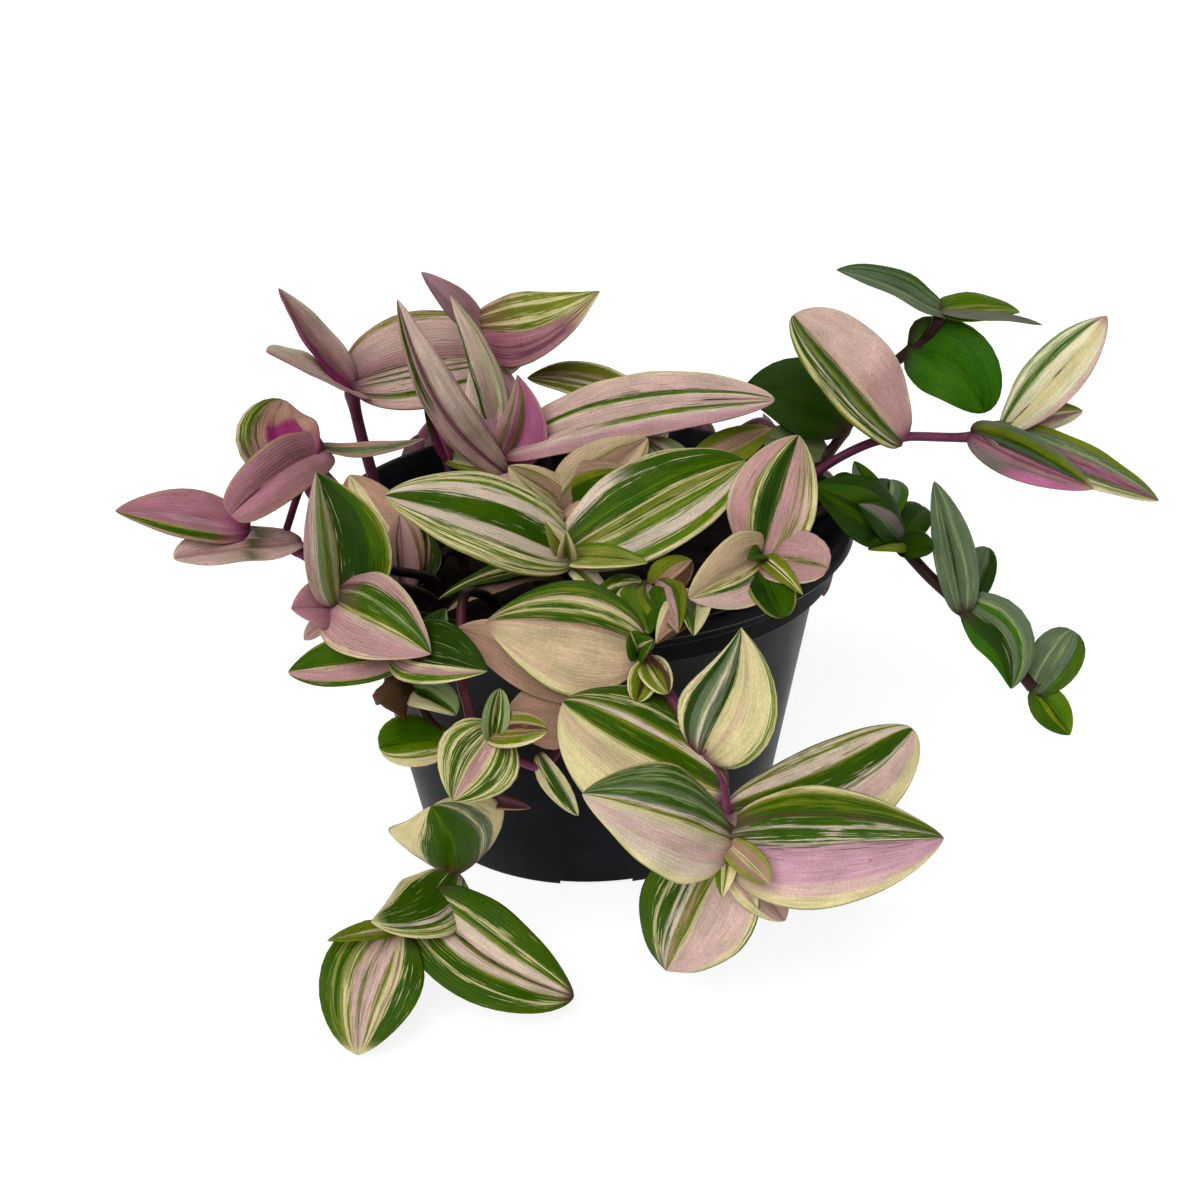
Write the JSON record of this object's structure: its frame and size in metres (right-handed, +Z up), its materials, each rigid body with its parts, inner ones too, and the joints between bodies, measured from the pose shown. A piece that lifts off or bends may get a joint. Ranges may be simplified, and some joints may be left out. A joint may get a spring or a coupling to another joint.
{
  "type": "potted tradescantia",
  "caption": "Bushy trailing house plant with pink, cream and green striped pointed leaves, in a round black plastic pot with a rolled rim.",
  "frame": {"origin": "middle of the pot's foot, on the surface that it stands on", "axes": "+Z up along the pot's axis, -Y towards the side the picture is taken from, +X to its right"},
  "size_m": [0.281, 0.2335, 0.1559],
  "materials": {
    "pot": "satin",
    "soil": "rough",
    "foliage_pink": "satin",
    "foliage_green": "satin",
    "foliage_plain": "satin",
    "foliage_cream": "satin"
  },
  "bodies": {
    "root": {"pot": "pot", "soil": "soil", "stem_upper_left": "foliage_pink", "stem_left": "foliage_pink", "stem_front_left": "foliage_green", "stem_inner_left": "foliage_pink", "stem_left_low": "foliage_plain", "stem_centre_front": "foliage_green", "stem_centre": "foliage_cream", "stem_upper_centre": "foliage_pink", "stem_back_left": "foliage_pink", "stem_upper_right": "foliage_plain", "stem_right": "foliage_pink", "stem_right_trailing": "foliage_plain", "stem_front_right": "foliage_pink", "stem_front_middle": "foliage_green", "stem_front_arching": "foliage_pink", "stem_front_low": "foliage_cream", "stem_front_trailing": "foliage_green", "stem_back_a": "foliage_green", "stem_back_b": "foliage_pink", "stem_back_c": "foliage_green", "stem_back_d": "foliage_cream", "stem_back_e": "foliage_pink", "stem_short_a": "foliage_green", "stem_short_b": "foliage_pink", "stem_short_c": "foliage_cream"}
  },
  "joints": []
}
